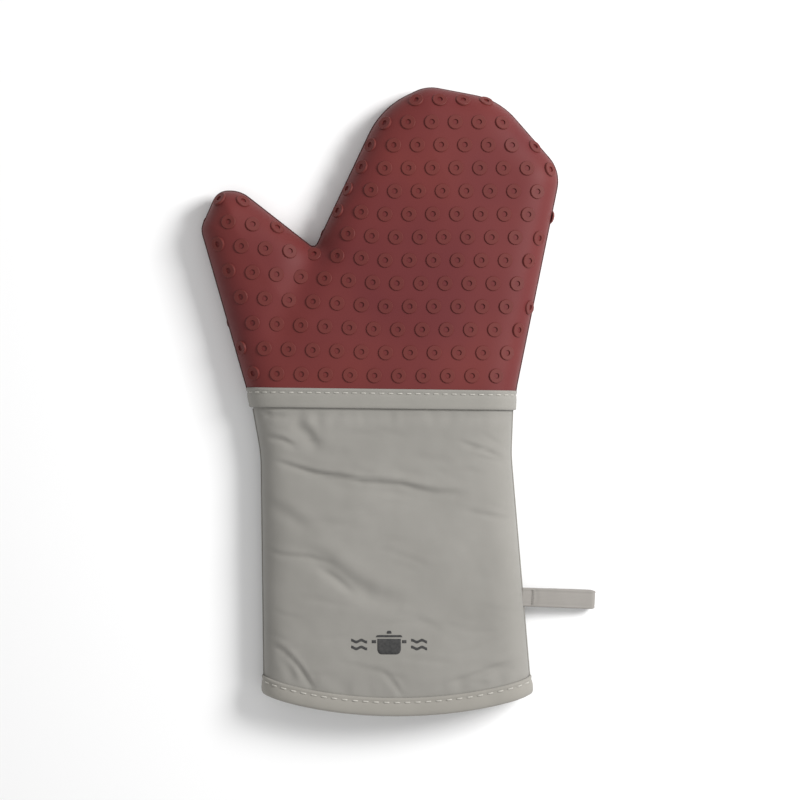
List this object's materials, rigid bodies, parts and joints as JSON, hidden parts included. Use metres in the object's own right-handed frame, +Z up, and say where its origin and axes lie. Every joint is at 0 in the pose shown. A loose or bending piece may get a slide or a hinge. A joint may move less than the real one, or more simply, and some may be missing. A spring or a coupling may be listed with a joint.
{
  "type": "oven mitt",
  "caption": "Padded oven mitt with a thumb, a ringed silicone hand over a lined fabric cuff, bound wrist and hem, and a swinging hanging loop.",
  "frame": {"origin": "middle of the mitt's footprint, hanging loop included, on the surface that it lies on", "axes": "+Y from the mouth towards the fingertips, +Z up through the thickness, out of the front face; the thumb is on the -X side and the hanging loop on the +X side"},
  "size_m": [0.2218, 0.3506, 0.0286],
  "materials": {
    "silicone": "satin moulded silicone",
    "silicone_bond": "cured silicone adhesive",
    "cuff_cotton": "plain woven cotton",
    "band_tape": "folded bias tape",
    "binding_tape": "folded bias tape",
    "loop_tape": "folded bias tape",
    "thread": "twisted polyester thread",
    "wadding": "needled cotton wadding",
    "lining_cotton": "plain woven cotton"
  },
  "bodies": {
    "mitt": {"silicone_front": "silicone", "silicone_back": "silicone", "silicone_seam_bond": "silicone_bond", "cuff_front": "cuff_cotton", "cuff_back": "cuff_cotton", "cuff_side_seams": "thread", "wadding_front": "wadding", "wadding_back": "wadding", "lining_front": "lining_cotton", "lining_back": "lining_cotton", "wrist_band": "band_tape", "hem_binding": "binding_tape", "band_stitches": "thread", "hem_stitches": "thread"},
    "loop": {"hanging_loop": "loop_tape", "loop_bartack": "thread"}
  },
  "joints": [
    {"name": "loop_swing", "type": "hinge", "parent": "mitt", "child": "loop", "pos_m": [0.07164, -0.11081, 0.011], "axis": [-0.0523, -0.9986, 0], "range_deg": [-70, 90]}
  ]
}
